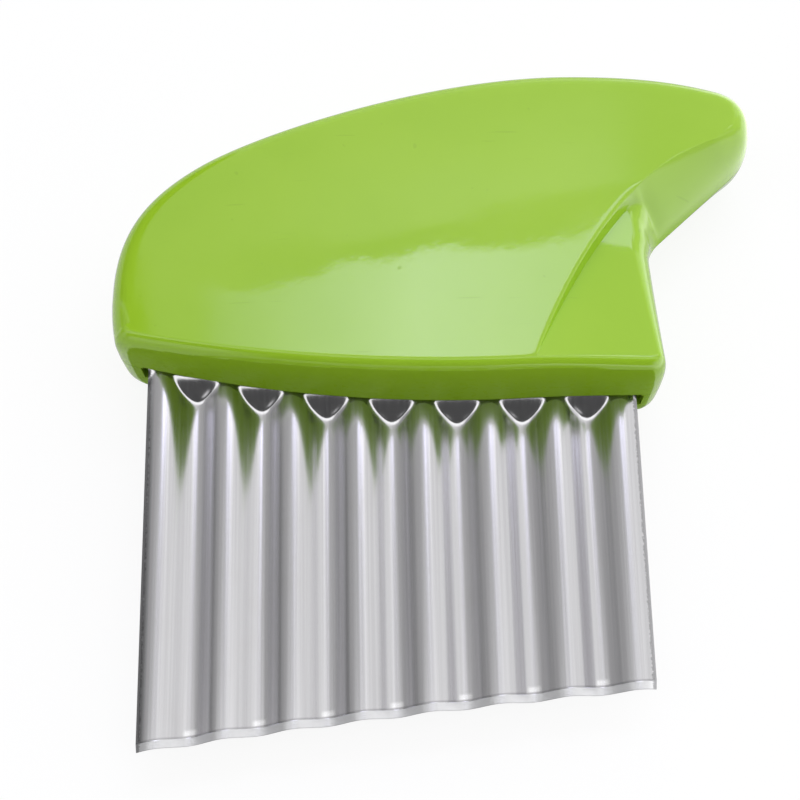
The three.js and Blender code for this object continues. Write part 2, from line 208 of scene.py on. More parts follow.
SCREWS = {
    "screw_blade_left": Vector((-BLADE_SCREW_X, BLADE_SCREW_Y)),
    "screw_blade_right": Vector((BLADE_SCREW_X, BLADE_SCREW_Y)),
    "screw_heel": on_left(-7.5, HEEL_SCREW_UP),
    "screw_horn": on_right(7.5, 43.1),
}

# Slot for the blade between the halves
SLOT_SIDE = 1.1
SLOT_SPARE = 0.8
SLOT_DEPTH = CLEARANCE + SHEET + GROOVE_DEPTH + SLOT_SPARE
FRONT_SLOT_SIDE = 0.7
FRONT_SLOT_HEIGHT = 0.45

# Steps of the handle's surfaces before they are subdivided
FINENESS = 2
MOUTH_STEPS = 13
CORNER_STEPS = 3
HORN_STEPS = 7
BACK_STEPS = (3, 4, 3, 12, 7, 3)
STEP_ROWS = 5
OUTER_LEVELS = 10
OUTER_ROWS = 8
INNER_LEVELS = 4
INNER_ROWS = 3
HOLD_STEPS = (1, 1.3, 2)
MOST_HELD = 0.5
SUBDIVISIONS = 2

# Steps of the blade's surfaces
COLUMNS_PER_MM = 5
BEVEL_ROWS = (0, 0.1, 0.5, 1, 1.1, 1.2, 1.3, 1.5, 1.8, 2.1, 2.5)
PLAIN_ROWS = 10
RAMP_ROWS = 44
RAMP_START = 9
RAMP_STOP = 1
TANG_ROWS = 4
SLOPE_STEP = 0.01

# Meshes
CUT_PAST = 1
ROUND_STEPS = 48
SMOOTH_ANGLE = radians(35)
WELD = 1e-6
SPOT_DIGITS = 6


def placed(point):
    """A point of the maker's frame in metres in the frame of the solids."""
    return MAKERS_ORIGIN + Vector(point) * MM


def blend(a, b, share):
    return a + (b - a) * share


def eased(share):
    """Rises from 0 to 1 with a soft start and end."""
    share = min(max(share, 0), 1)
    return share * share * (3 - 2 * share)


def evenly(steps, start=0, end=1):
    return [blend(start, end, step / steps) for step in range(steps + 1)]


def lay(bm, grid):
    """A patch of quads through a grid of points in the maker's frame."""
    columns, rows = len(grid) - 1, len(grid[0]) - 1
    made = bmesh.ops.create_grid(bm, x_segments=columns, y_segments=rows, size=1)
    for vert in made["verts"]:
        column = round((vert.co.x + 1) / 2 * columns)
        row = round((vert.co.y + 1) / 2 * rows)
        vert.co = placed(grid[column][row])


def turned(bm, profile, centre):
    """A round body from a profile of (radius, z) points that starts and ends on its axis."""
    verts = [bm.verts.new(placed((centre.x + r, centre.y, z))) for r, z in profile]
    edges = [bm.edges.new(pair) for pair in zip(verts, verts[1:])]
    bmesh.ops.spin(
        bm, geom=verts + edges, cent=placed((centre.x, centre.y, 0)), axis=(0, 0, 1),
        angle=2 * pi, steps=ROUND_STEPS, use_merge=True,
    )


def rod(diameter, z0, z1):
    """The profile of a plain cylinder."""
    return [(0, z0), (diameter / 2, z0), (diameter / 2, z1), (0, z1)]


def block(bm, low, high):
    """A box between two corners."""
    low, high = Vector(low), Vector(high)
    verts = bmesh.ops.create_cube(bm, size=1)["verts"]
    bmesh.ops.scale(bm, vec=(high - low) * MM, verts=verts)
    bmesh.ops.translate(bm, vec=placed((low + high) / 2), verts=verts)
    return verts


def to_piece(bm, name):
    """The bmesh as an object, closed at its seams and with its faces outwards."""
    bmesh.ops.remove_doubles(bm, verts=bm.verts, dist=WELD)
    bmesh.ops.recalc_face_normals(bm, faces=bm.faces)
    mesh = bpy.data.meshes.new(name)
    bm.to_mesh(mesh)
    bm.free()
    piece = bpy.data.objects.new(name, mesh)
    bpy.context.scene.collection.objects.link(piece)
    return piece


def settle(piece):
    """Makes what the modifiers give the piece's own mesh."""
    graph = bpy.context.evaluated_depsgraph_get()
    mesh = bpy.data.meshes.new_from_object(piece.evaluated_get(graph))
    piece.modifiers.clear()
    piece.data = mesh


def carve(piece, tool, operation):
    """Joins a tool to a piece or cuts it out, and removes the tool."""
    boolean = piece.modifiers.new("carve", "BOOLEAN")
    boolean.operation = operation
    boolean.solver = "MANIFOLD"
    boolean.object = tool
    settle(piece)
    bpy.data.objects.remove(tool)


def subdivided(piece, levels):
    modifier = piece.modifiers.new("subdivided", "SUBSURF")
    modifier.levels = levels
    modifier.render_levels = levels
    settle(piece)


def smooth(piece):
    mesh = piece.data
    mesh.polygons.foreach_set("use_smooth", [True] * len(mesh.polygons))
    mesh.set_sharp_from_angle(angle=SMOOTH_ANGLE)


def finished(piece, node, slot, *materials):
    """Gives a piece its materials and lets it stand for a solid."""
    piece.data.materials.clear()
    for material in materials:
        piece.data.materials.append(material)
    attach(piece, "root")
    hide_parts(node)


# Rim of the handle


@dataclass
class Edge:
    """How far an edge rolls in, and how it curves: 2 is an ellipse, more is squarer."""
    roll: float
    rise: float
    lie: float

    def towards(self, other, share):
        return Edge(
            blend(self.roll, other.roll, share),
            blend(self.rise, other.rise, share),
            blend(self.lie, other.lie, share),
        )


@dataclass
class Sample:
    """A point of the rim, the way in from it, and its kind of edge."""
    rim: Vector
    inward: Vector
    edge: Edge
    shelf: Vector = None
    crest: Vector = None
    along_horn: float = 0

    def within(self, distance):
        return self.rim + self.inward * distance

    def section(self, inset, top, shares):
        """Points up the edge, from 0 at the rim to 1 at its top."""
        bottom = self.within(inset)
        points = []
        for share in shares:
            angle = share * pi / 2
            across = bottom.lerp(top.to_2d(), 1 - max(cos(angle), 0) ** (2 / self.edge.lie))
            points.append(Vector((across.x, across.y, top.z * sin(angle) ** (2 / self.edge.rise))))
        return points


@dataclass
class Half:
    """What sets a half of the handle apart: its depth, the fall of its face, and its corners."""
    depth: float
    drop: float
    heel: tuple
    foot: tuple
    rear: bool

    def face_height(self, point):
        away = point - FACE_MID
        return self.depth - self.drop * ((away.x / FACE_REACH_X) ** 2 + (away.y / FACE_REACH_Y) ** 2)

    def on_its_side(self, points):
        """Points on the half's own side of the seam."""
        if not self.rear:
            return points
        return [Vector((point.x, point.y, -point.z - SEAM)) for point in points]


FRONT_HALF = Half(depth=FRONT_DEPTH, drop=FACE_DROP, heel=FULL, foot=SOFT, rear=False)
REAR_HALF = Half(depth=REAR_DEPTH, drop=0, heel=SQUARE, foot=SQUARE, rear=True)


def on_curve(points, share):
    """Point and direction on the Bezier curve with these control points."""
    while len(points) > 2:
        points = [a.lerp(b, share) for a, b in zip(points, points[1:])]
    start, end = points
    return start.lerp(end, share), (end - start).normalized()


def bend(start, start_way, start_reach, end, end_way, end_reach):
    """Control points of a curve that leaves its start and comes to its end in given ways."""
    return [start, start + start_way * start_reach, end - end_way * end_reach, end]


def rounded_corner(start, start_way, end, end_way):
    """Control points of a curve that rounds off the corner where two ways meet."""
    length = (end - start).cross(end_way) / start_way.cross(end_way)
    return [start, start + start_way * length, end]


def mouth_arc(x0, x1):
    """Control points of part of the mouth's arc."""
    middle = (x0 + x1) / 2
    slope = (x0 - MOUTH_LOW_X) / MOUTH_RADIUS
    pull = Vector((middle, mouth_y(x0) + slope * (middle - x0)))
    return [Vector((x0, mouth_y(x0))), pull, Vector((x1, mouth_y(x1)))]


# Curves of the rim, anticlockwise as seen from the front
SIDE_WAY = (THROAT_FOOT - SIDE_FOOT).normalized()
HORN_WAY = (HORN_UNDER - THROAT_TOP).normalized()
SIDE_REACH = SIDE_CORNER * ROUND_REACH
MOUTH_CURVE = mouth_arc(MOUTH_LEFT_X, RECESS_START_X)
MOUTH_START, MOUTH_START_WAY = on_curve(MOUTH_CURVE, 0)
RECESS_START, RECESS_START_WAY = on_curve(MOUTH_CURVE, 1)
RECESS_CURVE = bend(RECESS_START, RECESS_START_WAY, MOUTH_REACH, MOUTH_RIGHT, RIGHT, MOUTH_REACH)
SIDE_CORNER_CURVE = bend(MOUTH_RIGHT, RIGHT, SIDE_REACH, SIDE_FOOT, SIDE_WAY, SIDE_REACH)
SIDE_CURVE = [SIDE_FOOT, THROAT_FOOT]
THROAT_CURVE = rounded_corner(THROAT_FOOT, SIDE_WAY, THROAT_TOP, HORN_WAY)
HORN_CURVE = [THROAT_TOP, HORN_UNDER]
BACK_CURVES = [
    bend(HORN_UNDER, HORN_WAY, HORN_REACH, HORN_TIP, UP, HORN_REACH),
    bend(HORN_TIP, UP, HORN_REACH, HORN_TOP, HORN_TOP_WAY, HORN_REACH),
    bend(HORN_TOP, HORN_TOP_WAY, CROWN_RIGHT_REACH, CROWN, LEFT, CROWN_RIGHT_REACH),
    bend(CROWN, LEFT, CROWN_LEFT_REACH, SHOULDER, SHOULDER_WAY, SHOULDER_REACH),
    bend(SHOULDER, SHOULDER_WAY, SHOULDER_REACH, HEEL, DOWN, HEEL_REACH),
    bend(HEEL, DOWN, HEEL_FOOT_REACH, HEEL_FOOT, HEEL_FOOT_WAY, HEEL_FOOT_REACH),
]
HEEL_CORNER_CURVE = rounded_corner(HEEL_FOOT, HEEL_FOOT_WAY, MOUTH_START, MOUTH_START_WAY)

# Edges of the rim that both halves share
MOUTH_EDGE = Edge(MOUTH_ROLL, *SQUARE)
HEEL_CORNER_EDGE = Edge(HEEL_CORNER_ROLL, *SQUARE)
SIDE_EDGE = Edge(SIDE_ROLL, *SOFT)
HORN_EDGE = Edge(HORN_ROLL, *SLOPED)
HORN_END_EDGE = Edge(HORN_ROLL, *SLOPED_END)
TIP_EDGE = Edge(HORN_ROLL, *ROUND)
BACK_EDGE = Edge(BACK_ROLL, *ROUND)


def stretch(curve, steps, start, end, part=(0, 1)):
    """Samples along part of a curve, without its last point."""
    samples = []
    for share in evenly(steps * FINENESS)[:-1]:
        rim, along = on_curve(curve, blend(*part, share))
        samples.append(Sample(rim, Vector((-along.y, along.x)), start.towards(end, share)))
    return samples


def rim_runs(half):
    """The rim of a half in four runs: mouth, recess, horn and back."""
    foot_edge = Edge(MOUTH_ROLL, *half.foot)
    heel_edge = Edge(HEEL_ROLL, *half.heel)
    mouth = stretch(MOUTH_CURVE, MOUTH_STEPS, HEEL_CORNER_EDGE, MOUTH_EDGE)
    recess = (
        stretch(RECESS_CURVE, CORNER_STEPS, MOUTH_EDGE, MOUTH_EDGE)
        + stretch(SIDE_CORNER_CURVE, CORNER_STEPS, MOUTH_EDGE, foot_edge)
        + stretch(SIDE_CURVE, CORNER_STEPS, foot_edge, SIDE_EDGE)
        + stretch(THROAT_CURVE, CORNER_STEPS, SIDE_EDGE, SIDE_EDGE, (0, THROAT_SPLIT))
    )
    horn = stretch(THROAT_CURVE, CORNER_STEPS, SIDE_EDGE, HORN_EDGE, (THROAT_SPLIT, 1))
    horn += stretch(HORN_CURVE, HORN_STEPS, HORN_EDGE, HORN_END_EDGE)
    back = []
    back_edges = [HORN_END_EDGE, TIP_EDGE] + [BACK_EDGE] * (len(BACK_CURVES) - 2) + [heel_edge]
    for curve, steps, start, end in zip(BACK_CURVES, BACK_STEPS, back_edges, back_edges[1:]):
        back += stretch(curve, steps, start, end)
    back += stretch(HEEL_CORNER_CURVE, CORNER_STEPS, heel_edge, HEEL_CORNER_EDGE)
    return mouth, recess, horn, back


# Surfaces of the handle


def share_of(distance, start, end):
    """What share of the way between two points a distance is, up to a limit."""
    return min(distance / max((end - start).length, WELD), MOST_HELD)


def lines_between(first, second, rows, lift, holds=None):
    """Lines of points from one row of points to another, with those between lifted to a surface.

    A hold is the distance from the first row within which a line has extra points.
    """
    lines = []
    for i, (start, end) in enumerate(zip(first, second)):
        near = share_of(holds[i], start, end) / HOLD_STEPS[-1] if holds else 0
        held = [step * near for step in HOLD_STEPS] if holds else []
        shares = held + evenly(rows, HOLD_STEPS[-1] * near)[1:-1]
        lines.append([start] + [lift(start.lerp(end, share).to_2d()) for share in shares] + [end])
    return lines


def up_step(foot, head):
    """Points up the recess's step, with one close below its crest."""
    near = share_of(CREASE_ROUND, head, foot)
    return [foot.lerp(head, share) for share in evenly(STEP_ROWS - 1, 0, 1 - near)] + [head]


def shelves(samples):
    return [sample.shelf for sample in samples]


@dataclass
class Skin:
    """A surface of one half: its outer one, or its inner one at an inset from that."""
    half: Half
    inset: float
    widen: float
    levels: int
    rows: int

    def __post_init__(self):
        self.mouth, self.recess, self.horn, self.back = rim_runs(self.half)
        self.start = self.rolled(self.recess[0])
        self.end = self.rolled(self.back[0])
        self.crease = bend(
            self.start, CREASE_START_WAY, CREASE_START_REACH,
            self.end, CREASE_END_WAY, CREASE_END_REACH,
        )
        self.crease_apex = self.on_crease(APEX_ALONG_CREASE)
        self.apex = self.horn[0].within(self.inset).lerp(self.crease_apex, APEX_SHARE)
        self.seat_shelves()
        self.seat_horn()
        self.foot_line, self.crease_line = self.step_lines()
        self.horn_columns = [self.horn_column(sample) for sample in self.horn]
        self.edge = self.edge_columns()
        self.rim = [column[0] for column in self.edge]

    def rolled(self, sample):
        """Where a sample's edge has rolled over into the face."""
        return sample.within(max(self.inset, sample.edge.roll * self.widen))

    def face_z(self, point):
        return self.half.face_height(point) - self.inset

    def on_face(self, point):
        return Vector((point.x, point.y, self.face_z(point)))

    def recess_z(self, point):
        fall = RECESS_FALL * (point.y - self.start.y) + RECESS_SIDE_FALL * (point.x - self.start.x)
        return self.face_z(self.start) - fall + SCOOP * max(point.y - SCOOP_START_Y, 0) ** 2

    def on_recess(self, point):
        return Vector((point.x, point.y, self.recess_z(point)))

    def on_crease(self, share):
        return on_curve(self.crease, share)[0]

    def seat_shelves(self):
        """Finds where the edge meets the face and the recess."""
        for sample in self.mouth + self.back:
            sample.shelf = self.on_face(self.rolled(sample))
        for sample in self.recess:
            sample.shelf = self.on_recess(self.rolled(sample))

    def seat_horn(self):
        """Finds the horn's crest, and the ledge below it that dies out towards the tip."""
        throat = self.horn[0].rim
        for sample in self.horn:
            share = (sample.rim - throat).length / (HORN_UNDER - throat).length
            crest = self.on_crease(blend(APEX_ALONG_CREASE, 1, share))
            ledge = sample.within(self.inset).lerp(crest, blend(APEX_SHARE, 1, share))
            ledge_z = blend(self.recess_z(self.apex), self.face_z(self.end), share)
            sample.shelf = Vector((ledge.x, ledge.y, ledge_z))
            sample.crest = self.on_face(crest)
            sample.along_horn = share

    def step_lines(self):
        """The foot and the crest of the step between the recess and the face, up to the horn."""
        lean = self.apex - self.crease_apex
        foot_line, crease_line = [], []
        for share in evenly(len(self.recess))[:-1]:
            head = self.on_crease(APEX_ALONG_CREASE * share)
            crease_line.append(self.on_face(head))
            foot_line.append(self.on_recess(head + lean * share ** FOOT_SPREAD))
        return foot_line, crease_line

    def wall(self, sample):
        return sample.section(self.inset, sample.shelf, evenly(self.levels))

    def horn_column(self, sample):
        """Points up the horn's underside: stepped at the throat, and plain further out."""
        ledge = blend(LEDGE_SHARE, 1, sample.along_horn)
        stepped = self.wall(sample)[:-1] + up_step(sample.shelf, sample.crest)
        plain_shares = evenly(self.levels, 0, ledge)[:-1] + evenly(STEP_ROWS, ledge, 1)
        plain = sample.section(self.inset, sample.crest, plain_shares)
        merge = eased(sample.along_horn / HORN_MERGE)
        return [a.lerp(b, merge) for a, b in zip(stepped, plain)]

    def edge_columns(self):
        """Columns of points up the edge, all the way round."""
        columns = [self.wall(sample) for sample in self.mouth + self.recess]
        columns += [column[:self.levels + 1] for column in self.horn_columns]
        return columns + [self.wall(sample) for sample in self.back + self.mouth[:1]]

    def step(self):
        columns = [up_step(foot, head) for foot, head in zip(self.foot_line, self.crease_line)]
        columns += [column[self.levels:] for column in self.horn_columns]
        return columns + [[self.back[0].shelf] * (STEP_ROWS + 1)]

    def face(self):
        """The face, with extra points along the crease, in a band that widens to the horn's tip."""
        crease_line = self.crease_line + [sample.crest for sample in self.horn]
        bands = evenly(len(crease_line) - 1, CREASE_BAND_START, CREASE_BAND_END)
        holds = [CREASE_BAND_START] * len(self.mouth) + bands + bands[-1:]
        lower = shelves(self.mouth) + crease_line + shelves(self.back[:1])
        upper = shelves(self.mouth[:1] + self.back[::-1])
        return lines_between(lower, upper, self.rows, self.on_face, holds)

    def foot(self):
        """The line of the step's foot, with the point where it meets the horn's ledge."""
        return self.foot_line + shelves(self.horn[:1])

    def recess_floor(self):
        lower = shelves(self.recess + self.horn[:1])
        return lines_between(lower, self.foot(), self.rows, self.on_recess)

    def patches(self):
        return [self.edge, self.face(), self.recess_floor(), self.step()]


def keep_sharp(bm, lines):
    """Keeps the edges along some lines of points sharp when the mesh is subdivided."""
    sharp = set()
    for points in lines:
        spots = [placed(point).to_tuple(SPOT_DIGITS) for point in points]
        sharp.update(frozenset(pair) for pair in zip(spots, spots[1:]))
    layer = bm.edges.layers.float.new("crease_edge")
    for edge in bm.edges:
        ends = frozenset(vert.co.to_tuple(SPOT_DIGITS) for vert in edge.verts)
        edge[layer] = 1 if ends in sharp else 0


def half_shell(name, half):
    """One hollow half: its outer skin, its inner one and the seam that joins them."""
    outer = Skin(half, inset=0, widen=1, levels=OUTER_LEVELS, rows=OUTER_ROWS)
    inner = Skin(half, inset=WALL, widen=INSIDE_ROLL, levels=INNER_LEVELS, rows=INNER_ROWS)
    seam = [list(pair) for pair in zip(outer.rim, inner.rim)]
    bm = bmesh.new()
    for patch in outer.patches() + inner.patches() + [seam]:
        lay(bm, [half.on_its_side(column) for column in patch])
    bmesh.ops.remove_doubles(bm, verts=bm.verts, dist=WELD)
    keep_sharp(bm, [half.on_its_side(line) for line in (outer.rim, inner.rim, outer.foot())])
    shell = to_piece(bm, name)
    subdivided(shell, SUBDIVISIONS)
    return shell


# Handle halves


def blade_slot(side, z0, z1):
    """A block that cuts a slot for the blade through the wall of the mouth."""
    reach = BLADE_WIDTH / 2 + side
    top = mouth_y(-reach) + 2 * WALL
    slot = bmesh.new()
    block(slot, (-reach, BLADE_LENGTH - WALL, z0), (reach, top, z1))
    return to_piece(slot, "slot")


def dull_and_shade_mouth_wall(shell):
    """Gives the wall of the mouth the second of the shell's materials, a duller copy whose darker tone
    is painted shade.
    """
    for face in shell.data.polygons:
        spot = (face.center - MAKERS_ORIGIN) / MM
        if face.normal.y < MOUTH_WALL_FACING and abs(spot.y - mouth_y(spot.x)) < MOUTH_WALL_REACH:
            face.material_index = 1


def handle_front(glossy, painted_shade_dull):
    shell = half_shell("handle_front", FRONT_HALF)
    bosses = bmesh.new()
    bores = bmesh.new()
    for centre in SCREWS.values():
        top = FRONT_HALF.face_height(centre) - WALL / 2
        turned(bosses, rod(FRONT_BOSS, 0, top), centre)
        turned(bores, rod(BORE, -CUT_PAST, BORE_END), centre)
    carve(shell, blade_slot(FRONT_SLOT_SIDE, -CUT_PAST, FRONT_SLOT_HEIGHT), "DIFFERENCE")
    carve(shell, to_piece(bosses, "bosses"), "UNION")
    carve(shell, to_piece(bores, "bores"), "DIFFERENCE")
    smooth(shell)
    finished(shell, "front_shell", "handle", glossy, painted_shade_dull)
    dull_and_shade_mouth_wall(shell)


def handle_rear(glossy, painted_shade_dull):
    shell = half_shell("handle_rear", REAR_HALF)
    bosses = bmesh.new()
    wells = bmesh.new()
    face = -REAR_DEPTH - SEAM
    for name, centre in SCREWS.items():
        top = -2 * CLEARANCE - SHEET if "blade" in name else -SEAM
        turned(bosses, rod(REAR_BOSS, face + WALL / 2, top), centre)
        turned(wells, [
            (0, CUT_PAST), (BORE / 2, CUT_PAST), (BORE / 2, -SEAT_DEPTH), (WELL / 2, -SEAT_DEPTH),
            (WELL / 2, face + WELL_CHAMFER), (WELL / 2 + 2 * WELL_CHAMFER, face - WELL_CHAMFER),
            (0, face - WELL_CHAMFER),
        ], centre)
    carve(shell, blade_slot(SLOT_SIDE, -SLOT_DEPTH, CUT_PAST), "DIFFERENCE")
    carve(shell, to_piece(bosses, "bosses"), "UNION")
    carve(shell, to_piece(wells, "wells"), "DIFFERENCE")
    smooth(shell)
    finished(shell, "rear_shell", "handle", glossy, painted_shade_dull)
    dull_and_shade_mouth_wall(shell)


# Corrugated blade


def edge_y(x):
    """The cutting edge, which slants and is slightly hollow."""
    across = x / BLADE_WIDTH
    return EDGE_RISE * (across + 0.5) + EDGE_HOLLOW * (1 - (2 * across) ** 2)


def groove_end_y(x):
    """Where the floor of a groove starts to rise."""
    return BLADE_LENGTH - GROOVE_END_DROP + (x - GROOVE_END_LOW_X) ** 2 / (2 * GROOVE_END_RADIUS)


def in_groove(x):
    """1 along the middle of a groove and 0 along a crest."""
    return (1 + cos(2 * pi * x / GROOVE_PITCH)) / 2


def sheet_height(x, y):
    """Height of the middle of the sheet: waves whose floors rise steeply, then ever less, to the tang.

    Across the floor of a groove groove_x hardly changes, so that its end is even on both sides.
    """
    groove_x = x - GROOVE_PITCH * sin(2 * pi * x / GROOVE_PITCH) / (2 * pi)
    wave = max(in_groove(x), CREST_DEPTH_SHARE)
    ramp = exp((groove_end_y(groove_x) - y) / GROOVE_RAMP)
    deep = (wave ** -GROOVE_TIGHTNESS + ramp ** -GROOVE_TIGHTNESS) ** (-1 / GROOVE_TIGHTNESS)
    return -CLEARANCE - SHEET / 2 - GROOVE_DEPTH * deep


def sheet_faces(x, y):
    """Points on the front and back of the sheet, which is ground thinner towards its edge."""
    d = SLOPE_STEP
    across = (sheet_height(x + d, y) - sheet_height(x - d, y)) / (2 * d)
    along = (sheet_height(x, y + d) - sheet_height(x, y - d)) / (2 * d)
    normal = Vector((-across, -along, 1)).normalized()
    middle = Vector((x, y, sheet_height(x, y)))
    ground = max(0, 1 - (y - edge_y(x)) / GROUND_BEVEL)
    front = middle + normal * (SHEET / 2 - GROUND_FRONT * ground)
    return front, middle - normal * (SHEET / 2 - GROUND_BACK * ground)


def blade_rows(x):
    """Heights of the blade's rows of points above a point of its edge."""
    edge = edge_y(x)
    bevel_top = edge + BEVEL_ROWS[-1]
    ramp_foot = mouth_y(x) - RAMP_START
    ramp_head = mouth_y(x) + RAMP_STOP
    top = TANG_TOP - max(0, abs(x) - (BLADE_WIDTH / 2 - TANG_CORNER))
    rows = [edge + rise for rise in BEVEL_ROWS]
    rows += evenly(PLAIN_ROWS, bevel_top, ramp_foot)[1:]
    rows += evenly(RAMP_ROWS, ramp_foot, ramp_head)[1:]
    return rows + evenly(TANG_ROWS, ramp_head, top)[1:]


def marked(blade):
    """Stores what the steel's pattern follows: the edge, the sides and the grooves."""
    spots = [(vert.co - MAKERS_ORIGIN) / MM for vert in blade.data.vertices]
    for name, values in (
        ("above_edge", [spot.y - edge_y(spot.x) for spot in spots]),
        ("from_side", [BLADE_WIDTH / 2 - abs(spot.x) for spot in spots]),
        ("in_groove", [in_groove(spot.x) for spot in spots]),
    ):
        attribute = blade.data.attributes.new(name, "FLOAT", "POINT")
        attribute.data.foreach_set("value", values)


def corrugated_blade(steel):
    columns = round(BLADE_WIDTH * COLUMNS_PER_MM)
    fronts, backs = [], []
    for i in range(columns + 1):
        x = (i / columns - 0.5) * BLADE_WIDTH
        front, back = zip(*(sheet_faces(x, y) for y in blade_rows(x)))
        fronts.append(front)
        backs.append(back)
    bm = bmesh.new()
    for patch in (fronts, backs):
        lay(bm, patch)
    for end in (0, -1):
        lay(bm, list(zip(fronts[end], backs[end])))
    for row in (0, -1):
        lay(bm, [(front[row], back[row]) for front, back in zip(fronts, backs)])
    blade = to_piece(bm, "corrugated_blade")
    marked(blade)
    smooth(blade)
    finished(blade, "blade", "blade", steel)


# Screws


def cross_recess(centre, head_end):
    """A tapered cross that a driver's tip leaves in the end of a screw's head."""
    deepest = head_end + CROSS_DEPTH
    floor = placed((centre.x, centre.y, deepest))
    cross = bmesh.new()
    for across, along in ((CROSS_WIDTH, CROSS_SPAN), (CROSS_SPAN, CROSS_WIDTH)):
        low = (centre.x - across / 2, centre.y - along / 2, head_end - CUT_PAST)
        high = (centre.x + across / 2, centre.y + along / 2, deepest)
        for vert in block(cross, low, high):
            if vert.co.z > placed((0, 0, head_end)).z:
                vert.co = floor + (vert.co - floor) * CROSS_TAPER
    return to_piece(cross, "cross")


def pan_screw(name, centre, zinc):
    head, shank = SCREW_HEAD / 2, SCREW_SHANK / 2
    head_end = SCREW_SEAT - SCREW_HEAD_HEIGHT
    dome = [(head - inward, head_end + up) for inward, up in HEAD_DOME]
    bm = bmesh.new()
    turned(bm, [
        (0, SCREW_TIP), (shank * SCREW_BLUNT_SHARE, SCREW_TIP), (shank, SCREW_TIP - SCREW_SHANK),
        (shank, SCREW_SEAT), (head - HEAD_CHAMFER, SCREW_SEAT), (head, SCREW_SEAT - HEAD_CHAMFER),
        (head, SCREW_SEAT - HEAD_SIDE), *dome, (0, head_end),
    ], centre)
    piece = to_piece(bm, f"pan_{name}")
    carve(piece, cross_recess(centre, head_end), "DIFFERENCE")
    smooth(piece)
    finished(piece, name, "screw", zinc)


# Shader graphs


class Graph:
    """The nodes of one shader, each made and linked by a short call."""

    def __init__(self, tree):
        self.tree = tree

    def add(self, kind):
        return self.tree.nodes.new("ShaderNode" + kind)

    def feed(self, socket, value):
        if isinstance(value, bpy.types.NodeSocket):
            self.tree.links.new(value, socket)
        else:
            socket.default_value = value

    def ramp(self, value, low, high, to_low=0, to_high=1, kind="SMOOTHSTEP"):
        """A value's range turned into another, softly at both ends unless its kind is linear."""
        node = self.add("MapRange")
        node.interpolation_type = kind
        for name, number in (
            ("Value", value),
            ("From Min", low),
            ("From Max", high),
            ("To Min", to_low),
            ("To Max", to_high),
        ):
            self.feed(node.inputs[name], number)
        return node.outputs["Result"]

    def fade(self, value, low, high):
        """Falls from 1 to 0 over a range of a value."""
        return self.ramp(value, low, high, 1, 0)

    def math(self, operation, *values):
        node = self.add("Math")
        node.operation = operation
        for socket, value in zip(node.inputs, values):
            self.feed(socket, value)
        return node.outputs["Value"]

    def product(self, first, *others):
        for other in others:
            first = self.math("MULTIPLY", first, other)
        return first

    def mix(self, share, a, b):
        node = self.add("Mix")
        node.data_type = "RGBA"
        sockets = [socket for socket in node.inputs if socket.type == "RGBA"]
        self.feed(node.inputs["Factor"], share)
        for socket, value in zip(sockets, (a, b)):
            self.feed(socket, value)
        return next(socket for socket in node.outputs if socket.type == "RGBA")


class Finish(Graph):
    """A material with a Principled shader, patterned by object coordinates."""

    def __init__(self, name):
        self.material = bpy.data.materials.new(name)
        self.material.use_nodes = True
        super().__init__(self.material.node_tree)
        self.shader = self.tree.nodes["Principled BSDF"]
        self.spot = self.add("TexCoord").outputs["Object"]

    def shade(self, **values):
        for name, value in values.items():
            socket = name.replace("_", " ").title().replace("Ior", "IOR")
            self.feed(self.shader.inputs[socket], value)

    def noise(self, scale, detail, vector=None):
        texture = self.add("TexNoise")
        self.feed(texture.inputs["Vector"], vector or self.spot)
        texture.inputs["Scale"].default_value = scale
        texture.inputs["Detail"].default_value = detail
        return texture.outputs["Fac"]

    def grain(self, stretch, detail, turn=(0, 0, 0)):
        """Noise that is stretched along one way, and turned."""
        mapping = self.add("Mapping")
        self.feed(mapping.inputs["Vector"], self.spot)
        mapping.inputs["Scale"].default_value = stretch
        mapping.inputs["Rotation"].default_value = turn
        return self.noise(1, detail, mapping.outputs["Vector"])

    def attribute(self, name):
        node = self.add("Attribute")
        node.attribute_name = name
        return node.outputs["Fac"]

    def bump(self, height, distance, strength, below=None):
        node = self.add("Bump")
        node.inputs["Strength"].default_value = strength
        node.inputs["Distance"].default_value = distance
        self.feed(node.inputs["Height"], height)
        if below:
            self.feed(node.inputs["Normal"], below)
        return node.outputs["Normal"]


# Most of the range of a noise pattern
MIDTONES = (0.3, 0.7)

# Moulded plastic
DEEP_GREEN = (0.31, 0.545, 0.022)
PALE_GREEN = (0.33, 0.565, 0.028)
MARK_GREEN = (0.2, 0.38, 0.02, 1)
MARK_SHARE = 0.25
MARK_ROUGHNESS = 0.15
SCUFF_STRETCH = (90, 1500, 90)
SCUFF_TURN = (0, 0, 0.6)
SCUFF_LEVELS = (0.7, 0.76)
SPECK_LEVELS = (0.77, 0.8)


def moulded_plastic(name, tone, roughness, specular):
    """Yellow-green moulded plastic with faint sink waves, scuffs and specks."""
    finish = Finish(name)

    def toned(colour):
        return (*(tone * share for share in colour), 1)

    clouds = finish.noise(scale=45, detail=3)
    mottle = finish.noise(scale=700, detail=2)
    scuffs = finish.ramp(finish.grain(SCUFF_STRETCH, detail=2, turn=SCUFF_TURN), *SCUFF_LEVELS)
    specks = finish.ramp(finish.noise(scale=520, detail=1), *SPECK_LEVELS)
    marks = finish.math("MAXIMUM", scuffs, specks)
    green = finish.mix(finish.ramp(clouds, *MIDTONES), toned(DEEP_GREEN), toned(PALE_GREEN))
    green = finish.mix(finish.product(marks, MARK_SHARE), green, MARK_GREEN)
    rough = finish.ramp(mottle, *MIDTONES, *roughness)
    rough = finish.math("ADD", rough, finish.product(marks, MARK_ROUGHNESS))
    waves = finish.bump(finish.noise(scale=70, detail=1), distance=0.0004, strength=0.25)
    peel = finish.bump(finish.noise(scale=900, detail=2), distance=0.00002, strength=0.2, below=waves)
    finish.shade(base_color=green, roughness=rough, normal=peel, ior=1.5, specular_ior_level=specular)
    return finish.material


